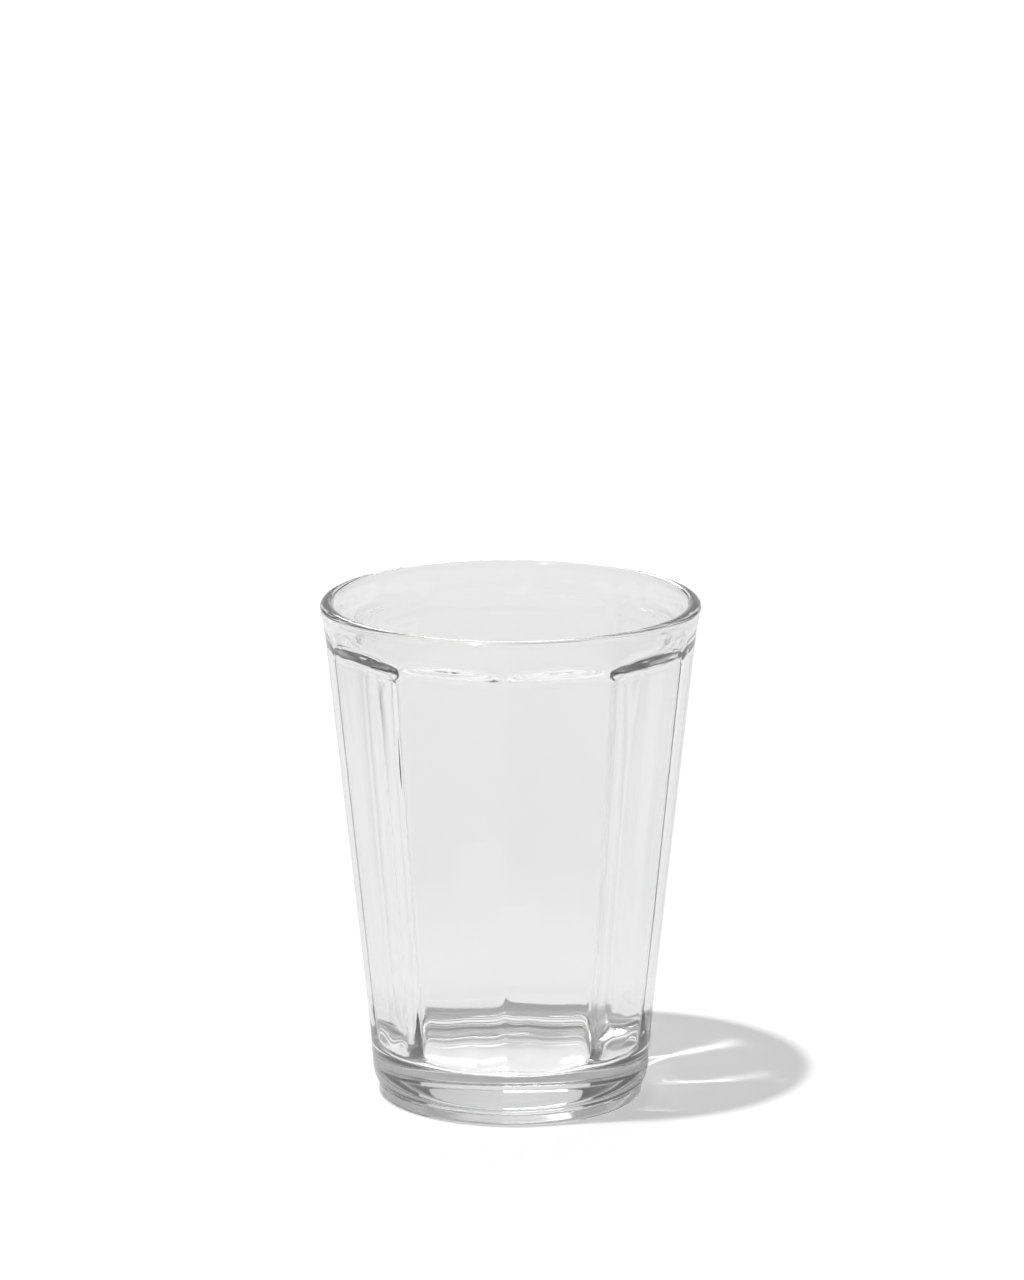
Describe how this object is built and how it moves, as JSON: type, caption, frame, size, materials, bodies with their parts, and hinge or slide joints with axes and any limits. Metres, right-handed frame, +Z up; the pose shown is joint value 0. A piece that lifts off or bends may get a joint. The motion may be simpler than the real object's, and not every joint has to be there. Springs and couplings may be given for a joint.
{
  "type": "water glass",
  "caption": "Thick-based pressed glass tumbler for water, round and tapered outside with flat panels on the inside wall below a plain rim band.",
  "frame": {"origin": "centre of the foot, on the plane of the surface that the glass stands on", "axes": "+Z up along the axis of the glass; one corner between two inside flats faces -Y and one flat is centred on +X"},
  "size_m": [0.075, 0.075, 0.1],
  "materials": {
    "clear_glass": "polished, clear"
  },
  "bodies": {
    "root": {"tumbler": "clear_glass"}
  },
  "joints": []
}
